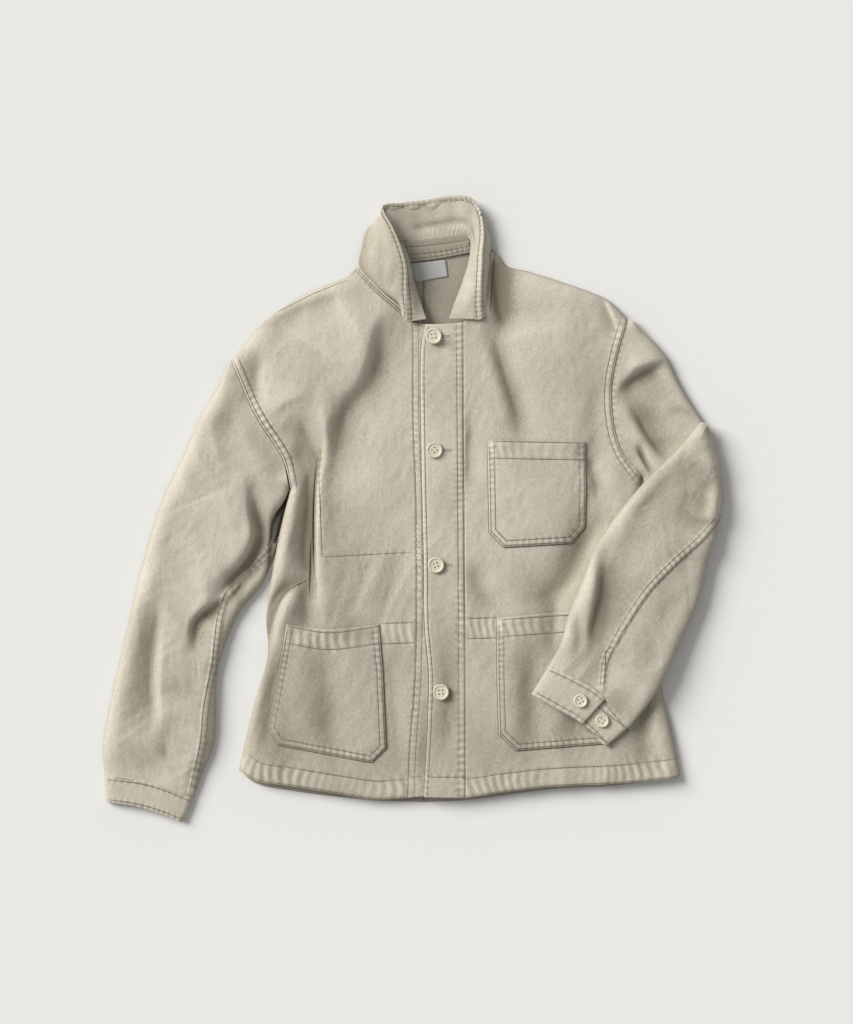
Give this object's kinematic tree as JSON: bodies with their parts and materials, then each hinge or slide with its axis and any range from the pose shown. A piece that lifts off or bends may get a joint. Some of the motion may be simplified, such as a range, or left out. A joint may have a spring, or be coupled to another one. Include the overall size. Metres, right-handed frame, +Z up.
{
  "type": "chore jacket",
  "caption": "Button-front chore jacket in washed twill, laid flat on its back with one forearm folded over the front and the collar open.",
  "frame": {"origin": "middle of the laid jacket's outline, on the surface that it lies on", "axes": "+Z up out of the surface, the jacket's shortest extent; +Y towards the collar; +X to the right of someone looking down at the fronts, which is the wearer's left"},
  "size_m": [0.7726, 0.7813, 0.0321],
  "materials": {
    "twill": "washed cotton twill, matt",
    "label": "blank woven label",
    "button": "cream resin, satin"
  },
  "bodies": {
    "root": {"back_right": "twill", "back_left": "twill", "front_right": "twill", "front_left": "twill", "button_band": "twill", "buttonhole_band": "twill", "chest_pocket": "twill", "hip_pocket_left": "twill", "hip_pocket_right": "twill", "sleeve_right_under": "twill", "sleeve_right_top": "twill", "sleeve_left_under": "twill", "sleeve_left_top": "twill", "forearm_left_under": "twill", "forearm_left_top": "twill", "cuff_right": "twill", "cuff_left": "twill", "neck_label": "label", "collar_stand": "twill", "collar": "twill", "button_1": "button", "button_2": "button", "button_3": "button", "button_4": "button", "cuff_button_1": "button", "cuff_button_2": "button"}
  },
  "joints": []
}
